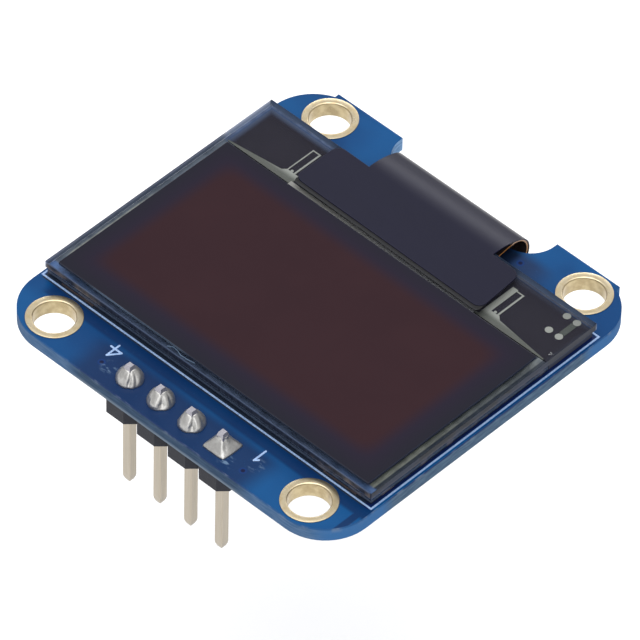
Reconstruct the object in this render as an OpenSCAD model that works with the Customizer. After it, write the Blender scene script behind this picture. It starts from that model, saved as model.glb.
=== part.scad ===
// Small OLED display module: a glass panel on a circuit board, a four-pin header at the
// front edge, and the panel's flexible circuit folded through a notch at the back edge.
// Origin: centre of the four mounting holes, on the board's lower face.
// +X runs along the header, +Y towards the notch, +Z out of the screen.

/* [Board] */
// How far the board reaches past the panel on each side
side_margin = 0.3; // [0.22:0.02:2]
// How far the board reaches past the panel at the front and at the back
end_margin = 4.02; // [3.9:0.02:6]
// Thickness of the board
board_t = 1.0; // [0.8:0.1:1.6]
// Radius of the board's corners
corner_r = 3.3; // [2:0.1:4]
// Height of the lip left along the notched edge where the board was snapped from its panel
lip_h = 0.1; // [0.02:0.02:0.3]
// Distance from the board's side to the start of the lip
lip_inset = 2.1; // [1.5:0.05:3]
// Gap between the flex and the left side of the notch that it folds through
notch_gap_left = 1.1; // [0.4:0.05:1.5]
// Gap between the flex and the right side of the notch
notch_gap_right = 1.4; // [0.4:0.05:1.5]
// Gap between the middle of the flex's fold and the floor of the notch
notch_gap_floor = 0.1; // [0:0.02:0.3]
// Radius of the notch's inner corners
notch_r = 2; // [0.4:0.1:2.2]

/* [Mounting holes] */
// Distance from the board's sides to the hole centres
hole_inset_x = 3.2; // [2.2:0.05:4]
// Distance from the board's front and back edges to the hole centres
hole_inset_y = 1.9; // [1.8:0.05:2.1]
// Clear bore of each plated hole
hole_d = 2.6; // [2:0.1:3]
// Width of the gold ring round each hole
ring_w = 0.45; // [0.3:0.05:0.5]
// Thickness of the gold rings on the board's faces
ring_t = 0.05; // [0.03:0.01:0.1]
// Wall of the gold lining inside the hole
lining_t = 0.1; // [0.05:0.01:0.15]

/* [Pin header] */
// Number of pins
pin_count = 4; // [2:1:6]
// Distance between neighbouring pins
pin_pitch = 2.54; // [2.2:0.02:2.6]
// Width of the square pins
pin_w = 0.62; // [0.5:0.02:0.66]
// How much of the pins' sharp corners is taken off
pin_edge = 0.04; // [0.02:0.01:0.06]
// Distance from the board's front edge to the row of pins
row_inset = 1.47; // [1.4:0.01:1.6]
// Sideways distance from the board's middle to the middle of the row
row_x = 0.06; // [0:0.02:1]
// Length of the pins below the plastic strip
pin_down = 6.15; // [3:0.05:8]
// Height of the pins above the board
pin_up = 1.2; // [1.0:0.05:2]
// Length of a pin's tapered tip
tip_l = 0.65; // [0.4:0.05:1]
// Width of a pin's blunt end
tip_w = 0.36; // [0.2:0.02:0.4]
// Height of the plastic strip
strip_h = 1.4; // [1:0.1:2.6]
// Width of the plastic strip
strip_w = 2.5; // [2.2:0.05:2.6]
// Depth of the V grooves between the strip's cells
groove_d = 0.56; // [0.3:0.02:0.6]
// Play between a pin's corners and its drilled hole, all round
pin_play = 0.07; // [0.03:0.01:0.1]
// Diameter of the round solder pads
pad_d = 1.7; // [1.4:0.02:1.9]
// Side of the square pad at pin 1
pad_side = 1.77; // [1.4:0.01:1.9]
// Height of the solder on the pins
solder_h = 0.95; // [0.6:0.05:1]

/* [Glass panel] */
// Width of the panel
glass_w = 26.7; // [25.5:0.1:27]
// Length of the panel, with the contact ledge
glass_l = 19.26; // [19:0.02:19.6]
// Thickness of the upper glass
glass_t = 0.5; // [0.4:0.05:0.7]
// Length of the contact ledge at the back
ledge_l = 4.0; // [3.8:0.05:4.2]
// Thickness of the lower glass
cap_t = 0.47; // [0.4:0.01:0.7]
// How far the lower glass stands in from the upper one
cap_inset = 0.1; // [0.02:0.02:0.3]
// Depth of the hollow in the lower glass
hollow_h = 0.25; // [0.15:0.01:0.3]
// Width of the lower glass's rim round its hollow
rim_w = 1.2; // [0.9:0.05:1.5]
// Thickness of the glue line between the two glasses
seal_t = 0.03; // [0.02:0.01:0.06]
// Width of that glue line
seal_w = 0.7; // [0.4:0.05:0.8]
// Distance from the panel's sides to the lit area
lit_inset_x = 2.48; // [2.2:0.02:4]
// Distance from the front edge and from the ledge to the lit area
lit_inset_y = 2.2; // [1.9:0.02:3]
// Thickness of each thin layer on the glass
layer_t = 0.02; // [0.01:0.01:0.03]
// How far the metal film reaches past the lit area
film_margin = 0.4; // [0.1:0.05:0.6]
// Thickness of the drying sheet in the hollow
sheet_t = 0.1; // [0.05:0.01:0.12]
// Clear margin round the drying sheet
sheet_margin = 1.5; // [0.5:0.1:3]
// Thickness of the polarizing film
polar_t = 0.2; // [0.1:0.01:0.3]
// Bare glass left at each end of the polarizing film
polar_inset_x = 0.6; // [0.2:0.05:0.8]
// Bare glass left in front of the polarizing film
polar_inset_y = 0.35; // [0.2:0.05:0.8]
// Bare glass left between the polarizing film and the ledge
polar_short = 0.6; // [0.1:0.05:0.8]

/* [Seat of the panel] */
// Thickness of the double-sided tape under the panel
seat_t = 0.13; // [0.1:0.01:0.3]
// Width of each strip of that tape
seat_w = 2.6; // [1.5:0.1:4]
// Distance from the panel's end to the strip
seat_inset = 1.3; // [0.5:0.1:3]
// Gap between the driver chip and the foam strip under it
foam_gap = 0.05; // [0.02:0.01:0.15]
// How far the foam strip stands in from the ledge's edges
foam_inset = 0.25; // [0.2:0.05:0.8]
// Thickness of the printed line round the panel
print_t = 0.02; // [0.01:0.01:0.04]
// Width of the printed line
print_w = 0.12; // [0.1:0.01:0.2]
// Distance from the panel's edge to the middle of the printed line
print_gap = 0.1; // [0.1:0.01:0.15]

/* [Ledge contacts] */
// Distance from the panel's middle to the inner contact, half of the gap between the two
contact_x = 7.45; // [7:0.05:8]
// Width of the solid bar beside the right-hand window
bar_w = 0.42; // [0.3:0.02:0.5]
// How much further out the left-hand window stands
left_shift = 0.36; // [0:0.02:0.6]
// Width of the framed contact windows
window_w = 0.66; // [0.5:0.02:0.8]
// Length of the framed contact window
window_l = 2.34; // [2:0.02:2.7]
// Width of the thin contact lines
line_w = 0.08; // [0.06:0.01:0.12]
// Length of the foot that each window stands on
foot_l = 0.8; // [0.4:0.05:0.9]
// Distance from the panel's side to the test pads
dot_inset_x = 1.2; // [0.8:0.05:1.5]
// Distance from the panel's back edge to the test pads
dot_inset_y = 0.42; // [0.3:0.02:0.6]
// Diameter of the round test pads
dot_d = 0.5; // [0.3:0.02:0.6]
// Distance between the test pads across the panel
dot_gap_x = 0.8; // [0.7:0.05:1]
// Distance between the test pads along the panel
dot_gap_y = 1.57; // [1.2:0.01:1.8]
// Length of the driver chip
chip_w = 6.8; // [5:0.1:8]
// Width of the driver chip
chip_l = 0.9; // [0.7:0.05:1.2]
// Thickness of the driver chip
chip_t = 0.3; // [0.2:0.01:0.3]

/* [Flex and tape] */
// Width of the flexible circuit
flex_w = 10.2; // [8:0.1:10.4]
// Thickness of the flexible circuit
flex_t = 0.1; // [0.06:0.01:0.15]
// Length of flex bonded under the ledge
bond_l = 1.4; // [1:0.05:1.6]
// How far the fold hangs below the board
fold_drop = 0.82; // [0.6:0.02:1]
// Distance from the glass edge to the middle of the fold
fold_out = 1.67; // [1.4:0.01:1.9]
// How much the flex springs up before the fold
fold_rise = 0.15; // [0.05:0.01:0.25]
// Length over which the flex returns to the board's back
return_l = 3.3; // [2.8:0.1:4]
// Length of flex soldered to the board's back
land_l = 2.6; // [2:0.1:3.5]
// Distance between the flex's solder joints
joint_pitch = 0.7; // [0.6:0.02:0.8]
// Width of each of the flex's solder joints
joint_w = 0.36; // [0.2:0.02:0.45]
// Thickness of those solder joints over the flex
joint_t = 0.07; // [0.04:0.01:0.12]
// Thickness of the black tape
tape_t = 0.08; // [0.05:0.01:0.12]
// Width of the tape on the ledge
tape_w = 15.1; // [12:0.1:16]
// Radius of the tape's corners
tape_r = 0.4; // [0.2:0.05:1]
// How far the tape reaches past the flex on each side
neck_margin = 0.05; // [-0.5:0.05:0.2]
// Distance from the polarizing film to the tape
tape_gap = 0.45; // [0.1:0.05:0.8]
// Angle below the fold's middle at which the tape ends
tape_end = 55; // [20:5:80]

/* [Parts on the back] */
// Length of the chip capacitors
cap_chip_l = 1.6; // [1.2:0.1:2]
// Width of the chip capacitors
cap_chip_w = 0.8; // [0.6:0.05:1]
// Height of the chip capacitors
cap_chip_h = 0.8; // [0.5:0.05:0.9]
// Height of the chip resistors
res_chip_h = 0.45; // [0.3:0.05:0.6]
// Length of each metal end of the chip parts
chip_end_l = 0.3; // [0.2:0.02:0.4]
// How far the metal ends stand proud of the chip parts
chip_end_t = 0.03; // [0.02:0.01:0.05]
// Reach of the solder at the chip parts' ends
fillet_l = 0.35; // [0.2:0.05:0.4]
// Length of the regulator's body
reg_l = 2.9; // [2.7:0.1:3.1]
// Width of the regulator's body
reg_w = 1.3; // [1.2:0.05:1.5]
// Height of the regulator's body
reg_h = 0.95; // [0.8:0.05:1.1]
// Gap between the regulator's body and the board
reg_lift = 0.08; // [0.05:0.01:0.12]
// Distance between the regulator's two paired legs
leg_pitch = 1.9; // [1.8:0.1:2]
// Width of the regulator's legs
leg_w = 0.42; // [0.3:0.02:0.5]
// Thickness of the regulator's legs
leg_t = 0.13; // [0.1:0.01:0.16]
// Reach of each leg from the regulator's body
leg_out = 0.55; // [0.45:0.05:0.7]

/* [Hidden] */
$fn = 96;

// Play between round faces that sit against each other
fit = 0.01;
// Overshoot of cutting shapes past the faces that they cut
cut = 0.5;

// Sizes that follow from the panel and the flex
board_w = glass_w + 2 * side_margin;
board_l = glass_l + 2 * end_margin;
hole_gap_x = board_w - 2 * hole_inset_x;
hole_gap_y = board_l - 2 * hole_inset_y;
pin_hole_d = pin_w * sqrt(2) + 2 * pin_play;
neck_w = flex_w + 2 * neck_margin;

// Heights above the board's lower face
seat_z = board_t + seat_t;
seal_z = seat_z + cap_t;
glass_z = seal_z + seal_t;
glass_top = glass_z + glass_t;

// Edges of the panel, which is centred on the mounting holes
panel_front = -glass_l / 2;
panel_back = glass_l / 2;
ledge_front = panel_back - ledge_l;
cap_front = panel_front + cap_inset;
cap_back = ledge_front - cap_inset;
cap_mid = (cap_front + cap_back) / 2;
polar_back = ledge_front - polar_short;

row_y = -board_l / 2 + row_inset;

// Parts on the back: [share of the half width, share of the half length, angle]
CAPACITORS = [
    [0.38, -0.58, 0], [0.84, -0.25, 90], [0.62, 0.02, 0],
    [0.19, 0.02, 0], [-0.23, 0.02, 0], [-0.7, 0.12, 90]
];
RESISTORS = [
    [-0.09, -0.58, 0], [-0.34, -0.58, 0], [-0.09, -0.4, 0], [-0.34, -0.4, 0], [-0.6, -0.48, 90]
];
REGULATOR = [0.6, -0.31, 0];
DIODE = [0.25, -0.26, 0];

// ---- Board ----

// Rounded rectangle with its middle at the origin
module rounded_rect(w, l, r) {
    square([w - 2 * r, l], center = true);
    square([w, l - 2 * r], center = true);
    for (sx = [-1, 1], sy = [-1, 1])
        translate([sx * (w / 2 - r), sy * (l / 2 - r)]) circle(r);
}

module board_face() {
    lip_w = board_w - 2 * lip_inset;
    difference() {
        union() {
            translate([0, -lip_h / 2]) rounded_rect(board_w, board_l - lip_h, corner_r);
            translate([-lip_w / 2, board_l / 2 - corner_r]) square([lip_w, corner_r]);
        }
        translate([(notch_gap_right - notch_gap_left) / 2, notch_floor + board_l / 2])
            rounded_rect(flex_w + notch_gap_left + notch_gap_right, board_l, notch_r);
    }
}

module at_holes() {
    for (sx = [-1, 1], sy = [-1, 1])
        translate([sx * hole_gap_x / 2, sy * hole_gap_y / 2, 0]) children();
}

function pin_x(i) = ((pin_count + 1) / 2 - i) * pin_pitch;

module at_row() {
    translate([row_x, row_y, 0]) children();
}

module at_pin(i) {
    at_row() translate([pin_x(i), 0, 0]) children();
}

module pcb() {
    color([0.14, 0.33, 0.57])
    difference() {
        linear_extrude(board_t) board_face();
        at_holes() translate([0, 0, -cut])
            cylinder(d = hole_d + 2 * (lining_t + fit), h = board_t + 2 * cut);
        for (i = [1:pin_count]) at_pin(i) translate([0, 0, -cut])
            cylinder(d = pin_hole_d, h = board_t + 2 * cut);
    }
}

// Gold lining of one hole: a barrel with a flange on each face of the board
module hole_ring(sx, sy) {
    color([0.83, 0.75, 0.58])
    translate([sx * hole_gap_x / 2, sy * hole_gap_y / 2, 0])
        rotate_extrude() {
            translate([hole_d / 2, -ring_t]) square([lining_t, board_t + 2 * ring_t]);
            for (z = [-ring_t, board_t])
                translate([hole_d / 2, z]) square([ring_w, ring_t]);
        }
}

module outline_print() {
    w = glass_w + 2 * print_gap;
    l = glass_l + 2 * print_gap;
    color([0.75, 0.83, 0.95])
    translate([0, 0, board_t]) linear_extrude(print_t) difference() {
        square([w + print_w, l + print_w], center = true);
        square([w - print_w, l - print_w], center = true);
    }
}

// ---- Pin header ----

// Outline of the plastic strip: square cells with V grooves between them
module strip_face() {
    w = pin_count * pin_pitch;
    difference() {
        square([w, strip_w], center = true);
        for (i = [0:pin_count], sy = [-1, 1])
            translate([-w / 2 + i * pin_pitch, sy * strip_w / 2]) circle(groove_d, $fn = 4);
    }
}

module header_body() {
    color([0.13, 0.12, 0.13])
    at_row() translate([0, 0, -strip_h]) linear_extrude(strip_h) difference() {
        strip_face();
        for (i = [1:pin_count]) translate([pin_x(i), 0]) square(pin_w, center = true);
    }
}

// Side view of a pin: straight shank, two-stage taper at each end
function pin_half() = let (
    low = -strip_h - pin_down,
    high = board_t + pin_up,
    knee = tip_w * 0.4 + pin_w * 0.6
) [
    [tip_w / 2, low], [knee / 2, low + tip_l * 0.35], [pin_w / 2, low + tip_l],
    [pin_w / 2, high - tip_l], [knee / 2, high - tip_l * 0.35], [tip_w / 2, high]
];

function reversed(p) = [for (i = [len(p) - 1:-1:0]) p[i]];
function flipped(p) = [for (q = p) [-q[0], q[1]]];

// A square post whose sides follow one side view
module square_post(half) {
    w = 2 * max([for (q = half) q[0]]);
    view = concat(half, flipped(reversed(half)));
    intersection() {
        rotate([90, 0, 0]) linear_extrude(w, center = true) polygon(view);
        rotate([90, 0, 90]) linear_extrude(w, center = true) polygon(view);
    }
}

// A pin with the sharp corners of its square section taken off
module pin_solid() {
    w = pin_w * sqrt(2) - 2 * pin_edge;
    intersection() {
        square_post(pin_half());
        translate([0, 0, -strip_h - pin_down]) linear_extrude(strip_h + pin_down + board_t + pin_up)
            rotate(45) square(w, center = true);
    }
}

module header_pin(i) {
    color([0.74, 0.70, 0.64]) at_pin(i) pin_solid();
}

// Solder in the hole, up to the board's top face
module hole_fill() {
    cylinder(d = pin_hole_d - 2 * fit, h = board_t);
}

// Side views of the solder above the board, from the pad up the pin
solder_steps = 8;
function dome_half(foot) = [
    for (k = [0:solder_steps]) let (u = k / solder_steps)
        [pin_w * 0.55 + (foot - pin_w * 0.55) * (1 - pow(u, 1.3)), ring_t + (solder_h - ring_t) * u]
];
function tent_half(foot) = [
    for (k = [0:solder_steps]) let (u = k / solder_steps)
        [pin_w * 0.55 + (foot - pin_w * 0.55) * pow(1 - u, 1.5), ring_t + (solder_h - ring_t) * u]
];

// Domed joint on a round pad
module round_joint(i) {
    color([0.78, 0.77, 0.74]) at_pin(i) difference() {
        union() {
            hole_fill();
            translate([0, 0, board_t]) rotate_extrude()
                polygon(concat([[0, 0], [pad_d / 2, 0]], dome_half(pad_d / 2), [[0, solder_h]]));
        }
        pin_solid();
    }
}

// Tent-shaped joint on a square pad
module square_joint(i) {
    color([0.78, 0.77, 0.74]) at_pin(i) difference() {
        union() {
            hole_fill();
            translate([0, 0, board_t])
                square_post(concat([[pad_side / 2, 0]], tent_half(pad_side / 2)));
        }
        pin_solid();
    }
}

// ---- Glass panel ----

// A sheet between two corners, from height z up by t
module sheet(x0, x1, y0, y1, z, t) {
    translate([x0, y0, z]) cube([x1 - x0, y1 - y0, t]);
}

module display_glass() {
    color([0.35, 0.42, 0.52, 0.5])
        sheet(-glass_w / 2, glass_w / 2, panel_front, panel_back, glass_z, glass_t);
}

module polarizer() {
    color([0.22, 0.15, 0.18])
        sheet(-glass_w / 2 + polar_inset_x, glass_w / 2 - polar_inset_x,
              panel_front + polar_inset_y, polar_back, glass_top, polar_t);
}

module cap_glass() {
    half = glass_w / 2 - cap_inset;
    color([0.30, 0.36, 0.42, 0.6]) difference() {
        sheet(-half, half, cap_front, cap_back, seat_z, cap_t);
        sheet(-half + rim_w, half - rim_w, cap_front + rim_w, cap_back - rim_w,
              seal_z - hollow_h, hollow_h + cut);
    }
}

module seal_bead() {
    half = glass_w / 2 - cap_inset;
    edge = (rim_w - seal_w) / 2;
    color([0.55, 0.53, 0.45]) difference() {
        sheet(-half + edge, half - edge, cap_front + edge, cap_back - edge, seal_z, seal_t);
        sheet(-half + edge + seal_w, half - edge - seal_w,
              cap_front + edge + seal_w, cap_back - edge - seal_w, seal_z - cut, seal_t + 2 * cut);
    }
}

module drying_sheet() {
    half = glass_w / 2 - cap_inset - rim_w - sheet_margin;
    reach = (cap_back - cap_front) / 2 - rim_w - sheet_margin;
    color([0.85, 0.85, 0.82])
        sheet(-half, half, cap_mid - reach, cap_mid + reach, seal_z - hollow_h, sheet_t);
}

// A layer under the lit area that reaches past it by a margin
module lit_sheet(margin, z) {
    half = glass_w / 2 - lit_inset_x + margin;
    sheet(-half, half, panel_front + lit_inset_y - margin, ledge_front - lit_inset_y + margin,
          z, layer_t);
}

module display_layer() {
    color([0.30, 0.17, 0.18]) lit_sheet(0, glass_z - layer_t);
}

module cathode_film() {
    color([0.7, 0.7, 0.72]) lit_sheet(film_margin, glass_z - 2 * layer_t);
}

// A framed window with a dot in it; its outer side line is the thicker one
module contact_window() {
    difference() {
        square([window_w, window_l]);
        translate([line_w, -cut]) square([window_w - 2.5 * line_w, window_l - line_w + cut]);
    }
    translate([window_w / 2, line_w * 2]) circle(d = line_w * 2.5);
}

// Metal foot of a contact, drawn out into a long taper towards the panel's side
module contact_foot(w) {
    reach = glass_w / 2 - polar_inset_x - contact_x;
    knee = [w + foot_l * 0.3, foot_l * 0.7];
    polygon([[0, 0], [reach, 0], [reach, line_w], knee, [w, foot_l], [0, foot_l]]);
}

// Contacts to the right of the driver chip
module right_contact() {
    contact_foot(bar_w + window_w);
    translate([0, foot_l - line_w]) {
        square([bar_w, window_l + line_w]);
        translate([bar_w - line_w, 0]) contact_window();
    }
}

// Contacts to the left of it, as seen in a mirror
module left_contact() {
    contact_foot(left_shift + window_w);
    translate([left_shift + window_w, foot_l - line_w]) mirror([1, 0]) contact_window();
}

module test_pads() {
    at = [glass_w / 2 - dot_inset_x, panel_back - dot_inset_y];
    for (ix = [0, 1], iy = [0, 1])
        translate([at[0] - ix * dot_gap_x, at[1] - iy * dot_gap_y]) circle(d = dot_d);
    translate([at[0] - line_w, at[1] - dot_gap_y]) square([2 * line_w, dot_gap_y]);
}

module ledge_contacts() {
    rail_y = ledge_front - line_w / 2;
    color([0.62, 0.64, 0.60])
    translate([0, 0, glass_z - layer_t]) linear_extrude(layer_t) {
        test_pads();
        translate([-contact_x - bar_w, rail_y]) square([2 * contact_x + bar_w, 2 * line_w]);
        translate([contact_x, rail_y]) right_contact();
        mirror([1, 0]) translate([contact_x + bar_w, rail_y]) left_contact();
    }
}

module driver_chip() {
    mid = (ledge_front + panel_back - bond_l) / 2;
    color([0.25, 0.25, 0.28])
        sheet(-chip_w / 2, chip_w / 2, mid - chip_l / 2, mid + chip_l / 2, glass_z - chip_t, chip_t);
}

// ---- Seat of the panel ----

module ledge_foam() {
    half = glass_w / 2 - foam_inset;
    color([0.1, 0.1, 0.11])
        sheet(-half, half, ledge_front, panel_back - foam_inset,
              board_t, glass_z - chip_t - foam_gap - board_t);
}

module mount_tape(sx) {
    mid = sx * (glass_w / 2 - seat_inset - seat_w / 2);
    color([0.62, 0.42, 0.25])
        sheet(mid - seat_w / 2, mid + seat_w / 2, cap_front, cap_back, board_t, seat_t);
}

// ---- Flex and tape ----

// An arc of a strip: [centre, radius, from angle, to angle, side], where side is 1 when the
// strip's upper face is its outer one and -1 when it is its inner one
arc_step = 6;
function turn(a) = [cos(a), sin(a)];
function arc_face(arc, off) = let (
    n = max(3, ceil(abs(arc[3] - arc[2]) / arc_step))
) [for (k = [0:n]) arc[0] + (arc[1] + arc[4] * off) * turn(arc[2] + (arc[3] - arc[2]) * k / n)];
function strip_side(arcs, off) = [for (arc = arcs) each arc_face(arc, off)];

// Radius and angle of each half of a level-to-level S curve that climbs by rise over run
function s_radius(run, rise) = (run * run + rise * rise) / (4 * rise);
function s_angle(run, rise) = asin(run / 2 / s_radius(run, rise));

fold_y = panel_back + fold_out;
fold_r = (glass_z + fold_rise + fold_drop) / 2;
notch_floor = fold_y + notch_gap_floor;
flex_mid = glass_z - flex_t / 2;
fold_mid_r = fold_r - flex_t / 2;
fold_z = flex_mid + fold_rise - fold_mid_r;
fold_low = fold_z - fold_mid_r;
land_y = fold_y - return_l;
land_z = -flex_t / 2;

flex_arcs = let (
    r1 = s_radius(fold_out, fold_rise), a1 = s_angle(fold_out, fold_rise),
    climb = land_z - fold_low,
    r2 = s_radius(return_l, climb), a2 = s_angle(return_l, climb)
) [
    [[panel_back, flex_mid + r1], r1, -90, -90 + a1, -1],
    [[fold_y, fold_z + fold_mid_r - r1], r1, 90 + a1, 90, 1],
    [[fold_y, fold_z], fold_mid_r, 90, -90, 1],
    [[fold_y, fold_low + r2], r2, -90, -90 - a2, 1],
    [[land_y, land_z - r2], r2, 90 - a2, 90, -1]
];

// Places a profile drawn in Y and Z, drawn out to a width along X
module along_x(w) {
    rotate([90, 0, 90]) linear_extrude(w, center = true) children();
}

module flex_cable() {
    start = panel_back - bond_l;
    stop = land_y - land_l;
    h = flex_t / 2;
    outer = concat([[start, flex_mid + h]], strip_side(flex_arcs, h), [[stop, land_z - h]]);
    inner = concat([[start, flex_mid - h]], strip_side(flex_arcs, -h), [[stop, land_z + h]]);
    color([0.55, 0.38, 0.16])
        along_x(flex_w) polygon(concat(outer, reversed(inner)));
}

// One solder joint at the flex's end: over the flex, down its end and out on to the board
module flex_joint_face() {
    stop = land_y - land_l;
    over = land_l * 0.6;
    translate([stop, -flex_t - joint_t]) square([over, joint_t]);
    intersection() {
        translate([stop, 0]) circle(flex_t + joint_t, $fn = 32);
        translate([stop - flex_t - joint_t, -flex_t - joint_t])
            square([flex_t + joint_t, flex_t + joint_t]);
    }
}

module flex_solder() {
    n = floor((flex_w - joint_w) / joint_pitch) + 1;
    color([0.78, 0.78, 0.76])
    for (k = [0:n - 1]) translate([(k - (n - 1) / 2) * joint_pitch, 0, 0])
        along_x(joint_w) flex_joint_face();
}

// The tape leaves the glass level, in a wide bend that runs into the one round the fold
tape_in_r = fold_r + fit;
tape_drop = glass_top - fold_z;
tape_wide_r = (fold_out * fold_out + tape_drop * tape_drop - tape_in_r * tape_in_r)
    / 2 / (tape_drop - tape_in_r);
tape_turn = atan2(tape_wide_r - tape_drop, fold_out);
tape_arcs = [
    [[panel_back, glass_top - tape_wide_r], tape_wide_r, 90, tape_turn, 1],
    [[fold_y, fold_z], tape_in_r, tape_turn, -tape_end, 1]
];

function tape_face(t) =
    concat([[polar_back + tape_gap, glass_top + t]], strip_side(tape_arcs, t));

module black_tape() {
    front = polar_back + tape_gap;
    l = panel_back - front;
    color([0.2, 0.2, 0.22]) union() {
        along_x(neck_w) polygon(concat(tape_face(tape_t), reversed(tape_face(0))));
        translate([0, (front + panel_back) / 2, glass_top]) linear_extrude(tape_t)
            rounded_rect(tape_w, l, tape_r);
    }
}

// ---- Parts on the back ----

// Turns a part that stands on Z = 0 over, on to the board's lower face
module on_back(place) {
    translate([place[0] * board_w / 2, place[1] * board_l / 2, 0])
        rotate([180, 0, place[2]]) children();
}

// A chip part: a block with metal ends that wrap round it
module chip_part(l, w, h) {
    t = chip_end_t;
    translate([-l / 2 + t, -w / 2 + t, t]) cube([l - 2 * t, w - 2 * t, h - 2 * t]);
    for (sx = [-1, 1])
        translate([sx * (l - chip_end_l) / 2 - chip_end_l / 2, -w / 2, 0])
            cube([chip_end_l, w, h]);
}

// Solder at a chip part's two ends, hollow-faced, most of the way up the part
module chip_fillets(l, w, h) {
    rise = h * 0.7;
    for (sx = [0, 1]) mirror([sx, 0, 0])
        translate([l / 2, -w / 2, 0]) rotate([-90, 0, 0]) linear_extrude(w)
            polygon([[0, 0], [fillet_l, 0], [fillet_l * 0.45, -rise * 0.28], [0, -rise]]);
}

module capacitor(i) {
    color([0.72, 0.60, 0.45])
        on_back(CAPACITORS[i - 1]) chip_part(cap_chip_l, cap_chip_w, cap_chip_h);
}

module resistor(i) {
    color([0.15, 0.15, 0.16])
        on_back(RESISTORS[i - 1]) chip_part(cap_chip_l, cap_chip_w, res_chip_h);
}

module chip_solder() {
    color([0.78, 0.78, 0.76]) {
        for (place = CAPACITORS) on_back(place) chip_fillets(cap_chip_l, cap_chip_w, cap_chip_h);
        for (place = RESISTORS) on_back(place) chip_fillets(cap_chip_l, cap_chip_w, res_chip_h);
    }
}

// Moulded body with sloping sides: upper and lower halves meet at the legs
reg_waist = reg_h * 0.5;
reg_slope = 0.07;

function moulded_half(w) = [
    [w / 2 - reg_slope, 0], [w / 2, reg_waist - leg_t / 2],
    [w / 2, reg_waist + leg_t / 2], [w / 2 - reg_slope, reg_h]
];

module moulded_body(l, w) {
    across = concat(moulded_half(w), flipped(reversed(moulded_half(w))));
    along = concat(moulded_half(l), flipped(reversed(moulded_half(l))));
    intersection() {
        rotate([90, 0, 0]) linear_extrude(w, center = true) polygon(along);
        rotate([90, 0, 90]) linear_extrude(l, center = true) polygon(across);
    }
}

// Side view of a bent leg that leaves the body at its waist and stands on the board
module leg_face() {
    z = reg_lift + reg_waist;
    knee = leg_out * 0.3;
    polygon([
        [0, z - leg_t / 2], [knee - leg_t / 2, z - leg_t / 2], [knee, 0], [leg_out, 0],
        [leg_out, leg_t], [knee + leg_t, leg_t], [knee + leg_t / 2, z + leg_t / 2],
        [0, z + leg_t / 2]
    ]);
}

module leg(x, sy) {
    translate([x, sy * reg_w / 2, 0]) mirror([0, sy < 0 ? 1 : 0, 0])
        along_x(leg_w) leg_face();
}

module regulator_body() {
    color([0.12, 0.12, 0.13])
        on_back(REGULATOR) translate([0, 0, reg_lift]) moulded_body(reg_l, reg_w);
}

module regulator_legs() {
    color([0.75, 0.75, 0.73]) on_back(REGULATOR) {
        for (sx = [-1, 1]) leg(sx * leg_pitch / 2, 1);
        leg(0, -1);
    }
}

module diode_1() {
    l = reg_w * 1.3;
    foot = leg_out * 0.7;
    color([0.14, 0.14, 0.15]) on_back(DIODE) {
        translate([0, 0, leg_t]) moulded_body(l, reg_w * 0.95);
        for (sx = [-1, 1]) translate([sx * (l + foot) / 2, 0, leg_t / 2])
            cube([foot + 2 * leg_t, leg_w, leg_t], center = true);
    }
}

// ---- Nodes ----

pcb();
hole_ring(-1, -1);  // ring_front_left
hole_ring(1, -1);  // ring_front_right
hole_ring(-1, 1);  // ring_back_left
hole_ring(1, 1);  // ring_back_right
header_body();
header_pin(1);  // header_pin_1
header_pin(2);  // header_pin_2
header_pin(3);  // header_pin_3
header_pin(4);  // header_pin_4
square_joint(1);  // solder_pin_1
round_joint(2);  // solder_pin_2
round_joint(3);  // solder_pin_3
round_joint(4);  // solder_pin_4
display_glass();
polarizer();
cap_glass();
seal_bead();
drying_sheet();
display_layer();
cathode_film();
ledge_contacts();
driver_chip();
ledge_foam();
mount_tape(-1);  // mount_tape_left
mount_tape(1);  // mount_tape_right
outline_print();
flex_cable();
flex_solder();
black_tape();
regulator_body();
regulator_legs();
diode_1();
chip_solder();
capacitor(1);  // capacitor_1
capacitor(2);  // capacitor_2
capacitor(3);  // capacitor_3
capacitor(4);  // capacitor_4
capacitor(5);  // capacitor_5
capacitor(6);  // capacitor_6
resistor(1);  // resistor_1
resistor(2);  // resistor_2
resistor(3);  // resistor_3
resistor(4);  // resistor_4
resistor(5);  // resistor_5
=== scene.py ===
# %% [markdown]
# # A small OLED display module with its finishes
#
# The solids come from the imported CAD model, so this file adds what CAD leaves out: glass that
# can be seen through, solder that has flowed, ink, film, and the finish of every surface.
# Lengths on the module are written in millimetres and turned into metres by one constant.

import math
import random

import bmesh
import bpy
from mathutils import Matrix, Vector, noise


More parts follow.
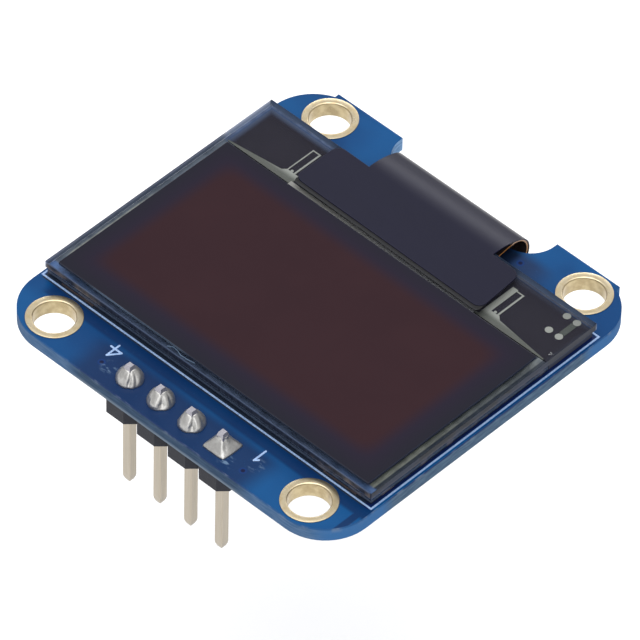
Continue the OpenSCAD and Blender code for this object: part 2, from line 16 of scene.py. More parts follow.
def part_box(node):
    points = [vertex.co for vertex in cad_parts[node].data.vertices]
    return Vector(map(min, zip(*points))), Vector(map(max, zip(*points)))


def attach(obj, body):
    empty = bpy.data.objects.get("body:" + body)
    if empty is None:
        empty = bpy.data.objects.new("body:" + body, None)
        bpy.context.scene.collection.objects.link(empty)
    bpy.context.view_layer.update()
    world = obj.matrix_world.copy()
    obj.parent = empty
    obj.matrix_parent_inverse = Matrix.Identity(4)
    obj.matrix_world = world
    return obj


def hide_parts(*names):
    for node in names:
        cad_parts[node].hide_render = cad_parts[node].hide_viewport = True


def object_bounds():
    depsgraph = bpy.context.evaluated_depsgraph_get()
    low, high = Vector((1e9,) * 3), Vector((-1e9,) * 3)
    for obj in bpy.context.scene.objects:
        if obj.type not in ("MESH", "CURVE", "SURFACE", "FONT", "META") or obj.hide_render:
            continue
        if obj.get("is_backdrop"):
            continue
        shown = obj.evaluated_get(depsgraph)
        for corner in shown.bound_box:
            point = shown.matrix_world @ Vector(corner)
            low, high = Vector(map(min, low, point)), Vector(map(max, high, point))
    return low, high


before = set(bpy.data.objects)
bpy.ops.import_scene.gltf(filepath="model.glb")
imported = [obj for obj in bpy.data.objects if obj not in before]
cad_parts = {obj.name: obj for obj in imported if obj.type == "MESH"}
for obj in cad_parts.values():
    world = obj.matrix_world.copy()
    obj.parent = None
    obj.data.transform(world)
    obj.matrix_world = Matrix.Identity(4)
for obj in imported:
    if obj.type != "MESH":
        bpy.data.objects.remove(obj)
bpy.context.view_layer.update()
MM = 0.001

# %% [markdown]
# ## Camera
#
# The module is looked at from above its pin 1 corner, from far off with a long lens, so
# parallel edges stay almost parallel. A camera is placed here by its three axes: `back`
# points from the module to the camera, and `ROLL` turns the view a little about it. A small
# slide along the view's upright axis centres the module.

# %% Place the camera
AZIMUTH, ELEVATION, ROLL = (math.radians(a) for a in (42.86, 45.99, 1.437))
DISTANCE = 500 * MM
FIELD = 37.84 * MM
SENSOR = 36
AIM_HEIGHT, SLIDE = 1 * MM, 0.857 * MM

back = Vector((
    math.sin(AZIMUTH) * math.cos(ELEVATION),
    -math.cos(AZIMUTH) * math.cos(ELEVATION),
    math.sin(ELEVATION),
))
level = Vector((math.cos(AZIMUTH), math.sin(AZIMUTH), 0))
upright = back.cross(level)
right = math.cos(ROLL) * level + math.sin(ROLL) * upright
up = math.cos(ROLL) * upright - math.sin(ROLL) * level

camera_data = bpy.data.cameras.new("corner_camera")
camera_data.sensor_width = SENSOR
camera_data.lens = SENSOR * DISTANCE / FIELD
camera_data.clip_start, camera_data.clip_end = 0.01, 20
camera = bpy.data.objects.new("corner_camera", camera_data)
place = Matrix((right, up, back)).transposed().to_4x4()
place.translation = Vector((0, 0, AIM_HEIGHT)) + back * DISTANCE - up * SLIDE
camera.matrix_world = place
bpy.context.scene.collection.objects.link(camera)
bpy.context.scene.camera = camera
print("lens", round(camera_data.lens, 1), "mm at", DISTANCE, "m")

# %% [markdown]
# ## Finishes from nodes
#
# A finish is a Principled BSDF with a few texture nodes in front of it. Every CAD node has
# its origin at the frame's origin, so object coordinates are places on the real module. The
# helpers below read them in millimetres, which keeps every number in a finish a real size.

# %% Helpers for finishes
def srgb(r, g, b):
    """A colour given as 0 to 255 screen values, turned into the linear values nodes use."""
    linear = []
    for value in (r / 255, g / 255, b / 255):
        linear.append(value / 12.92 if value <= 0.04045 else ((value + 0.055) / 1.055) ** 2.4)
    return (*linear, 1)


def new_finish(name, colour, rough, metal=0.0, **sockets):
    """A material with its constants set on the shader's own sockets."""
    finish = bpy.data.materials.new(name)
    finish.use_nodes = True
    shader = finish.node_tree.nodes["Principled BSDF"]
    shader.inputs["Base Color"].default_value = colour
    shader.inputs["Roughness"].default_value = rough
    shader.inputs["Metallic"].default_value = metal
    for socket, value in sockets.items():
        shader.inputs[socket.replace("_", " ")].default_value = value
    return finish, finish.node_tree, shader


def add(tree, kind, links=None, **settings):
    """A new node with its settings and incoming links."""
    made = tree.nodes.new(kind)
    for key, value in settings.items():
        setattr(made, key, value)
    for socket, source in (links or {}).items():
        if isinstance(source, bpy.types.NodeSocket):
            tree.links.new(source, made.inputs[socket])
        else:
            made.inputs[socket].default_value = source
    return made


def wire(shader, **sources):
    """Links sources to the shader's sockets, whose names are written with _ for a space."""
    for socket, source in sources.items():
        shader.id_data.links.new(source, shader.inputs[socket.replace("_", " ")])


def place_mm(tree):
    """The shaded point's place on the module, in millimetres."""
    spot = add(tree, "ShaderNodeTexCoord").outputs["Object"]
    scaled = add(tree, "ShaderNodeVectorMath", {0: spot, "Scale": 1 / MM}, operation="SCALE")
    return scaled.outputs[0]


def split(tree, vector):
    """The X, Y and Z of a vector."""
    parts = add(tree, "ShaderNodeSeparateXYZ", {0: vector}).outputs
    return parts["X"], parts["Y"], parts["Z"]


def facing(tree):
    """The X, Y and Z of the surface's normal."""
    return split(tree, add(tree, "ShaderNodeNewGeometry").outputs["Normal"])


def maths(tree, operation, a, b=0.0):
    return add(tree, "ShaderNodeMath", {0: a, 1: b}, operation=operation).outputs[0]


def times(tree, first, *others):
    """The product of all the values."""
    for other in others:
        first = maths(tree, "MULTIPLY", first, other)
    return first


def away(tree, value, middle=None):
    """How far a value is from a middle, or from 0."""
    if middle is not None:
        value = maths(tree, "SUBTRACT", value, middle)
    return maths(tree, "ABSOLUTE", value)


def fade(tree, value, start, stop):
    """0 before start, 1 after stop, smooth between; start may be the larger one."""
    limits = {"Value": value, "From Min": start, "From Max": stop}
    ramp = add(tree, "ShaderNodeMapRange", limits, interpolation_type="SMOOTHSTEP")
    return ramp.outputs["Result"]


def within(tree, value, rise, full, fall, none):
    """1 from full to fall, 0 before rise and after none, smooth between."""
    return times(tree, fade(tree, value, rise, full), fade(tree, value, none, fall))


def grain(tree, size, detail=2.0, stretch=(1, 1, 1)):
    """Soft random grain whose lumps are about size millimetres across."""
    where = add(tree, "ShaderNodeVectorMath", {0: place_mm(tree), 1: stretch}, operation="DIVIDE")
    settings = {"Vector": where.outputs[0], "Scale": 1 / size, "Detail": detail}
    return add(tree, "ShaderNodeTexNoise", settings).outputs["Fac"]


def blend(tree, amount, first, second):
    """first where amount is 0, second where it is 1."""
    mixer = add(tree, "ShaderNodeMix", {0: amount, 6: first, 7: second}, data_type="RGBA")
    return mixer.outputs[2]


def between(tree, amount, first, second):
    """The same for two numbers, on a straight ramp."""
    limits = {"Value": amount, "To Min": first, "To Max": second}
    return add(tree, "ShaderNodeMapRange", limits).outputs["Result"]


def mottle(tree, size, detail, first, second):
    """Two colours mixed by grain."""
    return blend(tree, grain(tree, size, detail), first, second)


def raise_surface(tree, shader, height, depth_mm, strength=1.0):
    """Bump from a 0 to 1 height that stands for depth_mm."""
    settings = {"Height": height, "Strength": strength, "Distance": depth_mm * MM}
    wire(shader, Normal=add(tree, "ShaderNodeBump", settings).outputs[0])


def dress(node, finish):
    """Gives a CAD node its finish."""
    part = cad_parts[node]
    part.data.materials.clear()
    part.data.materials.append(finish)


# %% [markdown]
# ## Circuit board
#
# The top and bottom are copper under a glossy blue solder mask: the mask looks a little
# lighter over copper and darker over the bare gaps between copper areas. The cut edge shows
# the glass fibre, greyer and streaked, with pale frayed spots. One finish does it all by
# asking how far the surface's normal leans from straight up.

# %% The board's finish
BOARD_TOP = 1.0
SHADE_X, SHADE_FRONT, SHADE_BACK = 13.38, -9.95, 9.6
VIAS = (6.01, 10.94), (-5.89, -12.37), (6.08, -12.77)
SMEARS = (-5.3, -12.35), (6.35, -11.9), (4.9, -12.9)

board_finish, tree, shader = new_finish(
    "blue_solder_mask", srgb(10, 64, 116), 0.3, Specular_IOR_Level=0.16)
spot = place_mm(tree)
x, y, z = split(tree, spot)
normal_x, _, normal_z = facing(tree)
flat = fade(tree, away(tree, normal_z), 0.4, 0.9)
on_top = fade(tree, z, 0.4, 0.6)

cloud = fade(tree, grain(tree, 5.0, 2), 0.35, 0.65)
copper = blend(tree, cloud, srgb(4, 58, 108), srgb(9, 73, 126))
# A bare gap in the copper runs along the front of the panel and turns round its right side.
gap_front = times(tree, within(tree, y, -10.85, -10.55, -9.75, -9.6), fade(tree, x, -12.8, -12.0))
gap_side = times(tree, within(tree, x, 12.9, 13.0, 13.38, 13.45), fade(tree, y, 9.9, 9.5))
gap = times(tree, maths(tree, "MAXIMUM", gap_front, gap_side), on_top)
mask_colour = blend(tree, times(tree, gap, 0.8), copper, srgb(4, 34, 76))
# Under the panel's overhang the board is in shade.
from_side = maths(tree, "SUBTRACT", SHADE_X, away(tree, x))
from_rim = maths(tree, "MINIMUM", from_side, maths(tree, "ADD", y, -SHADE_FRONT))
from_rim = maths(tree, "MINIMUM", from_rim, maths(tree, "SUBTRACT", SHADE_BACK, y))
shaded = times(tree, fade(tree, from_rim, 0.0, 0.1), on_top)
shade = blend(tree, fade(tree, x, 12.6, 13.2), srgb(34, 43, 58), srgb(14, 30, 78))
mask_colour = blend(tree, shaded, mask_colour, shade)
# Beside the flex the tape's fold shades the board.
by_flex = times(
    tree, within(tree, x, 4.0, 4.5, 6.6, 9.0), within(tree, y, 9.5, 9.7, 11.2, 12.2), on_top)
shade = blend(tree, fade(tree, x, 5.9, 5.3), srgb(22, 47, 84), srgb(14, 26, 46))
mask_colour = blend(tree, by_flex, mask_colour, shade)
# Round the pins the copper stops too, and the mask turns navy.
row = times(tree, fade(tree, y, -10.4, -11.4), fade(tree, away(tree, x), 8.0, 6.2))
mask_colour = blend(tree, times(tree, row, 0.85), mask_colour, srgb(12, 37, 76))


def distance_to(tree, spot, centre):
    """How far the shaded point is from a place on the board's top."""
    ends = {0: spot, 1: (*centre, BOARD_TOP)}
    return add(tree, "ShaderNodeVectorMath", ends, operation="DISTANCE").outputs["Value"]


for via in VIAS:
    apart = distance_to(tree, spot, via)
    mask_colour = blend(tree, fade(tree, apart, 0.3, 0.2), mask_colour, srgb(12, 46, 98))
    mask_colour = blend(tree, fade(tree, apart, 0.16, 0.1), mask_colour, srgb(8, 16, 52))
# Flux has dried to pale smears beside the end pins.
for smear in SMEARS:
    apart = distance_to(tree, spot, smear)
    streaks = fade(tree, grain(tree, 0.28, 3, (1.6, 0.7, 1)), 0.5, 0.66)
    patch = times(tree, fade(tree, apart, 0.7, 0.1), streaks, 0.75)
    mask_colour = blend(tree, patch, mask_colour, srgb(104, 130, 158))
speckle = grain(tree, 0.12, 3)
specks = times(tree, fade(tree, speckle, 0.62, 0.8), 0.25)
mask_colour = blend(tree, specks, mask_colour, srgb(30, 84, 134))

weave = grain(tree, 0.35, 4, (3.0, 3.0, 0.35))
threads = fade(tree, weave, 0.35, 0.7)
front_end = fade(tree, away(tree, x), 6.0, 8.0)
right_end = fade(tree, away(tree, y), 7.8, 9.2)
# The front and right cut faces get different colours, greyer in front and lighter and bluer at the
# right: painted light, for how the lamps fall on each side; the fibre streaks are real.
front_edge = blend(tree, threads, srgb(34, 56, 80), srgb(52, 74, 99))
front_edge = blend(tree, fade(tree, z, 0.32, 0.05), front_edge, srgb(98, 112, 127))
end_colour = blend(tree, threads, srgb(54, 86, 122), srgb(78, 104, 136))
front_edge = blend(tree, front_end, front_edge, end_colour)
lit_right_edge = blend(tree, threads, srgb(54, 76, 100), srgb(76, 100, 122))
lit_right_edge = blend(tree, right_end, lit_right_edge, srgb(46, 94, 144))
on_right = fade(tree, normal_x, 0.4, 0.8)
edge_colour = blend(tree, on_right, front_edge, lit_right_edge)
# The mask laps a little way over the cut.
near_end = between(tree, on_right, front_end, right_end)
lap = blend(tree, near_end, srgb(10, 42, 88), srgb(26, 76, 126))
edge_colour = blend(tree, fade(tree, z, 0.8, 0.9), edge_colour, lap)
frayed = times(tree, fade(tree, grain(tree, 0.9, 3), 0.5, 0.7), fade(tree, z, 0.5, 1.0), 0.5)
edge_colour = blend(tree, frayed, edge_colour, srgb(116, 129, 146))
# The drill that cut the notch tore the fibres at its two ears.
at_ear = times(tree, fade(tree, y, 12.0, 13.2), fade(tree, away(tree, x), 9.2, 8.0))
torn = times(tree, at_ear, fade(tree, weave, 0.2, 0.5))
edge_colour = blend(tree, torn, edge_colour, srgb(120, 156, 196))
wire(shader, Base_Color=blend(tree, flat, edge_colour, mask_colour),
     Roughness=between(tree, flat, 0.75, 0.3))
relief = maths(tree, "ADD", times(tree, gap, -0.5), times(tree, speckle, 0.15))
raise_surface(tree, shader, relief, 0.04, 0.5)
dress("pcb", board_finish)
print("board finish has", len(tree.nodes), "nodes")

# %% [markdown]
# ## Gold linings, pins and solder metal
#
# The four mounting holes are plated with pale gold, which is soft and shows fine scuffs.
# The pins are plated with bright metal drawn through a die, so their streaks run along Z.
# A new shape is drawn as a bmesh, a mesh that can be edited, and then becomes a piece that
# rides on the module's one body. The linings are turned like on a lathe.

# %% Metal finishes and linings
RING_WIDTH = 0.45
RING_STEPS = 96
OUTER_ROUND, INNER_ROUND = 0.02, 0.1

gold_finish, tree, shader = new_finish("pale_gold_plating", srgb(226, 202, 150), 0.3, 1.0)
scuff = grain(tree, 0.5, 3)
flat_gold = blend(tree, fade(tree, scuff, 0.35, 0.8), srgb(217, 203, 173), srgb(202, 182, 142))
# The barrel inside each hole is painted darker than the flat faces: painted shade in the recess.
shaded_barrel_gold = blend(tree, fade(tree, scuff, 0.35, 0.7), srgb(166, 149, 115), srgb(190, 174, 138))
flat = fade(tree, away(tree, facing(tree)[2]), 0.3, 0.8)
wire(shader, Base_Color=blend(tree, flat, shaded_barrel_gold, flat_gold),
     Roughness=between(tree, scuff, 0.24, 0.34))
raise_surface(tree, shader, scuff, 0.01, 0.3)


def box_mm(node):
    """The low and high corners of a CAD node's box, in millimetres."""
    return [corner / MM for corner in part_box(node)]


def vertex_at(mesh, px, py, pz):
    """A new vertex at a place in millimetres."""
    return mesh.verts.new((px * MM, py * MM, pz * MM))


def make_object(name, mesh, finish):
    """A drawn shape with its finish, as an object in the scene."""
    data = bpy.data.meshes.new(name)
    mesh.to_mesh(data)
    mesh.free()
    data.materials.append(finish)
    made = bpy.data.objects.new(name, data)
    bpy.context.scene.collection.objects.link(made)
    return made


def make_piece(name, mesh, finish):
    """A drawn shape as a piece that rides on the module."""
    piece = make_object(name, mesh, finish)
    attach(piece, "root")
    return piece


def turn_ring(node):
    """The plated lining of a hole: two flat faces and a barrel, with rounded corners."""
    low, high = box_mm(node)
    middle_x, middle_y = (low.x + high.x) / 2, (low.y + high.y) / 2
    outer = (high.x - low.x) / 2
    inner = outer - RING_WIDTH
    corners = [(outer - OUTER_ROUND, OUTER_ROUND, range(0, 91, 30)),
               (inner + INNER_ROUND, INNER_ROUND, range(90, 181, 10))]
    half = []
    for reach, radius, turns in corners:
        for a in (math.radians(turn) for turn in turns):
            half.append((reach + radius * math.cos(a), radius * (1 - math.sin(a))))
    profile = [(reach, high.z - depth) for reach, depth in half]
    profile += [(reach, low.z + depth) for reach, depth in reversed(half)]
    mesh = bmesh.new()
    rows = []
    for step in range(RING_STEPS):
        a = 2 * math.pi * step / RING_STEPS
        rows.append([vertex_at(mesh, middle_x + r * math.cos(a), middle_y + r * math.sin(a), z)
                     for r, z in profile])
    for before, after in zip(rows, rows[1:] + rows[:1]):
        for k in range(len(profile)):
            mesh.faces.new((before[k], before[k - 1], after[k - 1], after[k]))
    bmesh.ops.recalc_face_normals(mesh, faces=mesh.faces[:])
    lining = make_piece(node + "_lathe", mesh, gold_finish)
    lining.data.shade_smooth()
    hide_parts(node)


for ring in ("ring_front_left", "ring_front_right", "ring_back_left", "ring_back_right"):
    turn_ring(ring)

pin_finish, tree, shader = new_finish("plated_pin", srgb(196, 184, 168), 0.38, 0.85)
streaks = grain(tree, 0.09, 3, (1, 1, 30))
pits = fade(tree, grain(tree, 0.16, 2), 0.72, 0.8)
pin_colour = blend(tree, streaks, srgb(154, 145, 129), srgb(186, 177, 163))
pin_colour = blend(tree, pits, pin_colour, srgb(120, 104, 84))
# Above the board the pin is wetted with solder.
wetted = fade(tree, split(tree, place_mm(tree))[2], 1.5, 1.7)
wire(shader, Base_Color=blend(tree, wetted, pin_colour, srgb(168, 166, 174)),
     Roughness=between(tree, streaks, 0.3, 0.5))
raise_surface(tree, shader, streaks, 0.01, 0.5)
for pin in range(1, 5):
    dress(f"header_pin_{pin}", pin_finish)

solder_finish, tree, shader = new_finish("flowed_solder", srgb(222, 220, 216), 0.34, 0.9)
frost = grain(tree, 0.14, 3)
wire(shader,
     Base_Color=blend(tree, frost, srgb(170, 169, 166), srgb(206, 205, 203)),
     Roughness=between(tree, frost, 0.26, 0.48))
raise_surface(tree, shader, frost, 0.02, 0.35)
for joint in ("flex_solder", "chip_solder"):
    dress(joint, solder_finish)
print("metal finishes:", gold_finish.name, pin_finish.name, solder_finish.name)

# %% [markdown]
# ## Solder joints
#
# Molten solder wets the pad, climbs the pin and sets as a plump bulb. It shrinks a little as
# it cools, which pinches creases into its flanks. Pin 1 has a square pad, so its joint is a
# hollow-sided tent. Each joint is grown ring by ring from the pad to the pin: the outline of
# a ring is a superellipse, round or square, and a profile sets how far it reaches.

# %% Grow the solder joints
TURNS, RINGS = 96, 24
PIN_COVER = 0.3
FOOT_EDGE = 0.05
CREASE_DRIFT = 0.25
LUMPS = 0.06
FRONT = math.atan2(-math.cos(AZIMUTH), math.sin(AZIMUTH))
# The creases of each joint: direction, depth and width.
FOLDS = {
    1: [(FRONT + 0.1, 0.16, 0.3), (FRONT + 2.4, 0.1, 0.4)],
    2: [(FRONT, 0.3, 0.26), (FRONT + 1.1, 0.1, 0.25), (FRONT - 2.2, 0.12, 0.4)],
    3: [(FRONT + 0.05, 0.24, 0.3), (FRONT + 0.9, 0.1, 0.2), (FRONT - 1.3, 0.08, 0.3)],
    4: [(FRONT - 0.1, 0.2, 0.16), (FRONT + 0.5, 0.12, 0.14), (FRONT - 0.7, 0.08, 0.2)],
}


def ring_reach(angle, squareness):
    """Reach of a unit outline at an angle: 0 is a circle, 1 is a square."""
    power = 2 + 10 * squareness
    return (abs(math.cos(angle)) ** power + abs(math.sin(angle)) ** power) ** (-1 / power)


def crease(angle, at, width):
    """1 in the bottom of a crease at an angle, 0 far from it."""
    apart = math.remainder(angle - at, 2 * math.pi)
    return math.exp(-((apart / width) ** 2))


def grow_joint(pin, folds):
    """A solder joint that fills its CAD node's box; pin 1 has the square pad."""
    low, high = box_mm(f"solder_pin_{pin}")
    centre_x, centre_y = (low.x + high.x) / 2, (low.y + high.y) / 2
    foot, top = (high.x - low.x) / 2, high.z - BOARD_TOP
    square = pin == 1
    mesh = bmesh.new()
    rows = []
    for ring in range(RINGS + 1):
        t = ring / RINGS
        belly = (1 - t) ** 1.5 if square else 1 - t ** 1.9
        reach = PIN_COVER + (foot - PIN_COVER) * belly
        height = BOARD_TOP + (0 if ring == 0 else FOOT_EDGE + (top - FOOT_EDGE) * t)
        squareness = max(0.0, 1 - t * 1.2) if square else 0
        row = []
        for step in range(TURNS):
            angle = 2 * math.pi * step / TURNS
            outline = ring_reach(angle, squareness)
            pinch = sum(depth * crease(angle, at + CREASE_DRIFT * t, width)
                        for at, depth, width in folds)
            pinch *= min(1, 0.25 + 2.2 * t) * (1 - t ** 4)
            swirl = Vector((math.cos(angle) * 1.3 + centre_x, math.sin(angle) * 1.3, t * 1.5))
            lump = 1 + LUMPS * noise.noise(swirl) * min(1, 4 * t)
            here = min(reach * outline * lump * (1 - pinch), foot * outline)
            row.append(vertex_at(mesh, centre_x + here * math.cos(angle),
                                 centre_y + here * math.sin(angle), height))
        rows.append(row)
    for lower, upper in zip(rows, rows[1:]):
        for step in range(TURNS):
            after = (step + 1) % TURNS
            mesh.faces.new((lower[step], lower[after], upper[after], upper[step]))
    mesh.faces.new(list(reversed(rows[0])))
    mesh.faces.new(rows[-1])
    joint = make_piece(f"joint_{pin}", mesh, solder_finish)
    joint.data.shade_smooth()
    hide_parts(f"solder_pin_{pin}")
    print(joint.name, "foot", round(foot, 2), "mm,", len(joint.data.polygons), "faces")


for pin, folds in FOLDS.items():
    grow_joint(pin, folds)

# %% [markdown]
# ## Plastic strip, moulded parts and chip parts
#
# The header's strip is black plastic with a faint moulding grain. The chip capacitors are tan
# ceramic and the resistors black, each between two tinned ends. The ends are found from the
# part's own generated coordinates, which run from 0 to 1 along its length.

# %% Finishes of the moulded and chip parts
strip_finish, tree, shader = new_finish(
    "black_header_plastic", srgb(24, 25, 32), 0.55, Specular_IOR_Level=0.22)
moulding = grain(tree, 0.12, 4)
wire(shader, Base_Color=blend(tree, moulding, srgb(20, 22, 30), srgb(36, 37, 46)))
raise_surface(tree, shader, moulding, 0.03, 0.5)
dress("header_body", strip_finish)

resin_finish, tree, shader = new_finish("black_resin", srgb(30, 30, 32), 0.55)
sand = grain(tree, 0.06, 3)
wire(shader, Base_Color=blend(tree, sand, srgb(22, 22, 24), srgb(44, 44, 47)))
raise_surface(tree, shader, sand, 0.02, 0.6)
for part in ("regulator_body", "diode_1"):
    dress(part, resin_finish)
dress("regulator_legs", pin_finish)

# Half the length of a chip part's bare body, where the whole part is 1 long.
HALF_BODY = 0.305
CHIP_COLOURS = {
    "tan_ceramic": (srgb(150, 118, 84), srgb(186, 154, 116)),
    "black_resistor": (srgb(18, 18, 20), srgb(38, 38, 42)),
}


def chip_finish(name, along, body_dark, body_light):
    """A chip part's body colour between two tinned ends, along X or Y."""
    finish, tree, shader = new_finish(name, body_light, 0.4)
    own = add(tree, "ShaderNodeTexCoord").outputs["Generated"]
    from_middle = away(tree, split(tree, own)["XY".index(along)], 0.5)
    end = fade(tree, from_middle, HALF_BODY, HALF_BODY + 0.015)
    body = mottle(tree, 0.1, 3, body_dark, body_light)
    wire(shader, Base_Color=blend(tree, end, body, srgb(205, 204, 200)),
         Metallic=end, Roughness=between(tree, end, 0.5, 0.28))
    raise_surface(tree, shader, grain(tree, 0.08, 2), 0.015, 0.5)
    return finish


chips = [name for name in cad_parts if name.startswith(("capacitor", "resistor"))]
for name in chips:
    low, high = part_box(name)
    along = "X" if high.x - low.x > high.y - low.y else "Y"
    kind = "tan_ceramic" if name.startswith("capacitor") else "black_resistor"
    look = f"{kind}_along_{along.lower()}"
    finish = bpy.data.materials.get(look) or chip_finish(look, along, *CHIP_COLOURS[kind])
    dress(name, finish)
print(len(chips), "chip parts dressed")

# %% [markdown]
# ## Display panel
#
# The panel is two sheets of glass. Its polarizing film looks almost black at the rim and
# maroon over the organic layer, where the light is made. That maroon field is the lit area's
# rectangle with soft edges, worked out as the distance to the nearest side of that rectangle.

# %% Polarizing film
lit_low, lit_high = box_mm("display_layer")
lit_middle_y = (lit_low.y + lit_high.y) / 2
lit_half_y = (lit_high.y - lit_low.y) / 2
film_finish, tree, shader = new_finish(
    "polarizing_film", srgb(40, 28, 36), 0.1, Specular_IOR_Level=0.15)
x, y, _ = split(tree, place_mm(tree))
side = maths(tree, "SUBTRACT", away(tree, x), lit_high.x)
end = maths(tree, "SUBTRACT", away(tree, y, lit_middle_y), lit_half_y)
ends = {0: side, 1: end, 2: 1.6}
nearest = add(tree, "ShaderNodeMath", ends, operation="SMOOTH_MAX").outputs[0]
rim = blend(tree, fade(tree, nearest, 0.2, 2.0), srgb(35, 29, 44), srgb(30, 30, 40))
maroon = mottle(tree, 3.5, 2, srgb(44, 26, 32), srgb(50, 30, 35))
film_colour = blend(tree, fade(tree, nearest, 0.8, -0.4), rim, maroon)
# The film's cut edge is duller than its face, but half of the front one catches light.
cut_edge = fade(tree, away(tree, facing(tree)[2]), 0.9, 0.5)
glint = times(tree, within(tree, x, -10.6, -8.6, -2.6, -1.6), fade(tree, y, -8.0, -9.0))
glint_colour = blend(tree, fade(tree, x, -8.0, -5.5), srgb(88, 103, 124), srgb(74, 86, 104))
edge_colour = blend(tree, glint, srgb(44, 50, 66), glint_colour)
wire(shader, Base_Color=blend(tree, cut_edge, film_colour, edge_colour))
raise_surface(tree, shader, grain(tree, 2.5, 1), 0.01, 0.15)
print("maroon field", round(2 * lit_high.x, 2), "x", round(2 * lit_half_y, 2), "mm")

# %% [markdown]
# The upper glass is clear on its faces and ground dull on its sides. A ray that enters the
# face near a side ends up on the ground side, which is why a bare margin of glass looks dark.
# So the block gets two finishes: faces that are almost gone, with only a thin smoke on them,
# and dark ground sides, bluish round the ledge where the board's blue leaks in. Alpha is used
# for the faces because light then falls straight through on to the metal below; the gloss is
# left to the film and to what lies under the glass.

# %% Upper glass and film
FILM_SHORT = 0.17
FILM_BEVEL, GLASS_BEVEL = 0.04, 0.025
LEDGE = 4.1
SHADOW_GAP = 0.014


def block(name, low, high, bevel, finish, segments=2):
    """A box between two corners, in millimetres, with its edges bevelled."""
    mesh = bmesh.new()
    bmesh.ops.create_cube(mesh, size=1)
    size = Vector(high) - Vector(low)
    middle = (Vector(high) + Vector(low)) / 2
    for vertex in mesh.verts:
        vertex.co = Vector((vertex.co[i] * size[i] + middle[i] for i in range(3))) * MM
    if bevel:
        bmesh.ops.bevel(mesh, geom=mesh.edges[:], offset=bevel * MM, segments=segments,
                        affect="EDGES", profile=0.5)
    return make_piece(name, mesh, finish)


# The film is stuck on a little to the right, so its left edge falls short by a hair.
film_low, film_high = box_mm("polarizer")
film_corner = (film_low.x + FILM_SHORT, film_low.y, film_low.z)
film = block("film_sheet", film_corner, film_high, FILM_BEVEL, film_finish, 3)
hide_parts("polarizer")

glass_low, glass_high = box_mm("display_glass")
clear_finish, tree, shader = new_finish(
    "clear_glass_face", srgb(30, 31, 40), 0.06, Alpha=0.1, Specular_IOR_Level=0.0)
wire(shader, Base_Color=mottle(tree, 4.0, 2, srgb(28, 29, 36), srgb(34, 36, 46)))

ground_finish, tree, shader = new_finish(
    "ground_glass_side", srgb(34, 38, 48), 0.32, Specular_IOR_Level=0.14)
x, y, z = split(tree, place_mm(tree))
chatter = grain(tree, 0.12, 3, (1, 1, 6))
scratched = fade(tree, chatter, 0.35, 0.75)
patches = fade(tree, grain(tree, 1.3, 3, (1, 1, 0.6)), 0.42, 0.62)
faint_patches = times(tree, patches, 0.4)
ledge_y = glass_high.y - LEDGE
on_ledge = fade(tree, y, ledge_y - 0.3, ledge_y + 0.3)
near_top = fade(tree, z, glass_low.z + 0.1, glass_high.z)
near_end = fade(tree, away(tree, x), 8.2, 9.6)

front_side = blend(tree, scratched, srgb(28, 32, 44), srgb(50, 56, 70))
front_side = blend(tree, times(tree, patches, near_end), front_side, srgb(98, 90, 88))
top_band = fade(tree, z, glass_high.z - 0.16, glass_high.z - 0.06)
front_side = blend(tree, top_band, front_side, srgb(78, 90, 114))

right_side = blend(tree, scratched, srgb(42, 45, 54), srgb(62, 63, 72))
upper_part = fade(tree, z, glass_low.z + 0.12, glass_low.z + 0.24)
right_side = blend(tree, upper_part, right_side, srgb(26, 28, 35))
right_side = blend(tree, faint_patches, right_side, srgb(40, 52, 78))
right_side = blend(tree, on_ledge, right_side, srgb(38, 41, 52))

# The left side is painted pale and bright, brightest round the ledge: painted light, as if light
# piped along the glass lit this edge.
upper_part = fade(tree, z, glass_low.z + 0.2, glass_low.z + 0.35)
lit_left_side = blend(tree, upper_part, srgb(115, 126, 148), srgb(160, 168, 194))
top_band = fade(tree, z, glass_high.z - 0.12, glass_high.z - 0.04)
lit_left_side = blend(tree, top_band, lit_left_side, srgb(84, 90, 106))
lit_left_side = blend(tree, faint_patches, lit_left_side, srgb(92, 106, 132))
lit_ledge = blend(tree, near_top, srgb(150, 166, 198), srgb(224, 232, 250))
lit_left_side = blend(tree, on_ledge, lit_left_side, lit_ledge)

on_right = fade(tree, x, glass_high.x - 0.15, glass_high.x - 0.05)
on_left = fade(tree, x, glass_low.x + 0.15, glass_low.x + 0.05)
on_back = fade(tree, y, glass_high.y - 0.15, glass_high.y - 0.05)
side_colour = blend(tree, on_right, front_side, right_side)
side_colour = blend(tree, on_left, side_colour, lit_left_side)
back_side = blend(tree, near_top, srgb(92, 108, 134), srgb(76, 92, 120))
wire(shader, Base_Color=blend(tree, on_back, side_colour, back_side),
     Roughness=between(tree, chatter, 0.3, 0.45))
raise_surface(tree, shader, chatter, 0.01, 0.3)

glass_corner = (glass_low.x, glass_low.y, glass_low.z + SHADOW_GAP)
upper_glass = block(
    "upper_glass", glass_corner, glass_high, GLASS_BEVEL, clear_finish, 3)
upper_glass.data.materials.append(ground_finish)
for face in upper_glass.data.polygons:
    face.material_index = 0 if abs(face.normal.z) > 0.9 else 1
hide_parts("display_glass")
print("upper glass", [round(v, 2) for v in glass_high - glass_low])

# %% [markdown]
# The lower glass is dark. Amber tape shows through near both ends of its front, and blue
# light from the board is painted on its left part.

# %% Lower glass, glue and drying sheet
lower_finish, tree, shader = new_finish(
    "lower_glass_over_dark", srgb(30, 34, 42), 0.12, Specular_IOR_Level=0.5)
x, _, z = split(tree, place_mm(tree))
stain = fade(tree, grain(tree, 1.1, 3, (1, 1, 0.6)), 0.5, 0.68)
amber = times(tree, stain, fade(tree, away(tree, x), 8.6, 9.4), 0.7)
dark = mottle(tree, 0.6, 3, srgb(16, 21, 34), srgb(44, 52, 68))
